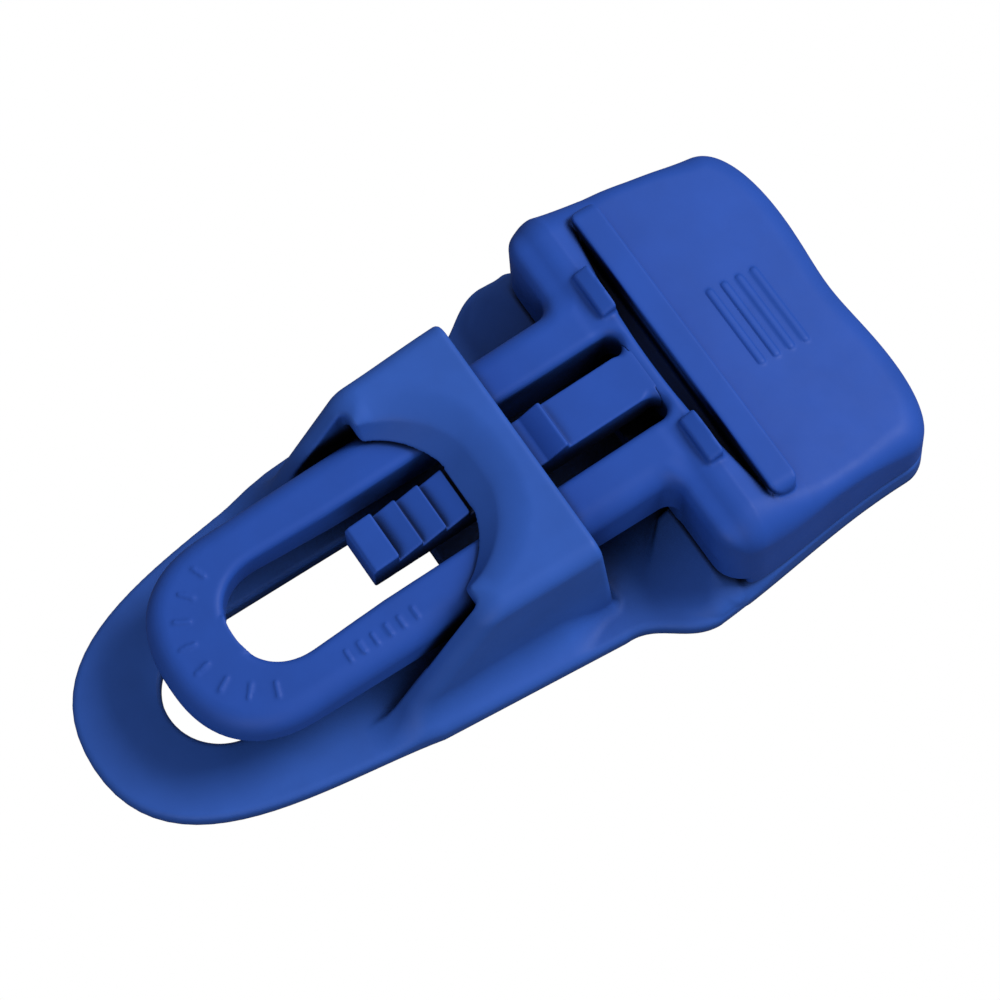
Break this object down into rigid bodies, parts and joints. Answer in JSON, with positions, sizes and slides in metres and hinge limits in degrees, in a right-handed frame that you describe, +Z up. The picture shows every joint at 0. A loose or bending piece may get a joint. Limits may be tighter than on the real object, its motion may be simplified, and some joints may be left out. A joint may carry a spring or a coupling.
{
  "type": "tarp clip",
  "caption": "Two-part moulded wedge clip that grips a tarp's edge between toothed jaws and draws tight on a rope tied through its looped tail.",
  "frame": {"origin": "centre of the bounding box at the base", "axes": "+Y towards the jaws, -Y towards the rope end, +Z up, +X to the side"},
  "size_m": [0.0548, 0.1104, 0.0226],
  "materials": {
    "lower_plastic": "satin blue moulded plastic",
    "draw_plastic": "satin blue moulded plastic"
  },
  "bodies": {
    "lower_moulding": {"rope_plate": "lower_plastic", "lower_jaw": "lower_plastic", "bridge": "lower_plastic"},
    "draw_moulding": {"upper_jaw": "draw_plastic", "rope_loop": "draw_plastic"},
    "tongue": {"ratchet_tongue": "draw_plastic"}
  },
  "joints": [
    {"name": "jaw_slide", "type": "slide", "parent": "lower_moulding", "child": "draw_moulding", "axis": [0, 0.9982, 0.0593], "range_m": [0, 0.0103]},
    {"name": "tongue_press", "type": "hinge", "parent": "draw_moulding", "child": "tongue", "pos_m": [0, 0.026, 0.01914], "axis": [1, 0, 0], "range_deg": [0, 4], "stiffness_Nm_per_rad": 0.05, "springref_deg": -2.01}
  ]
}
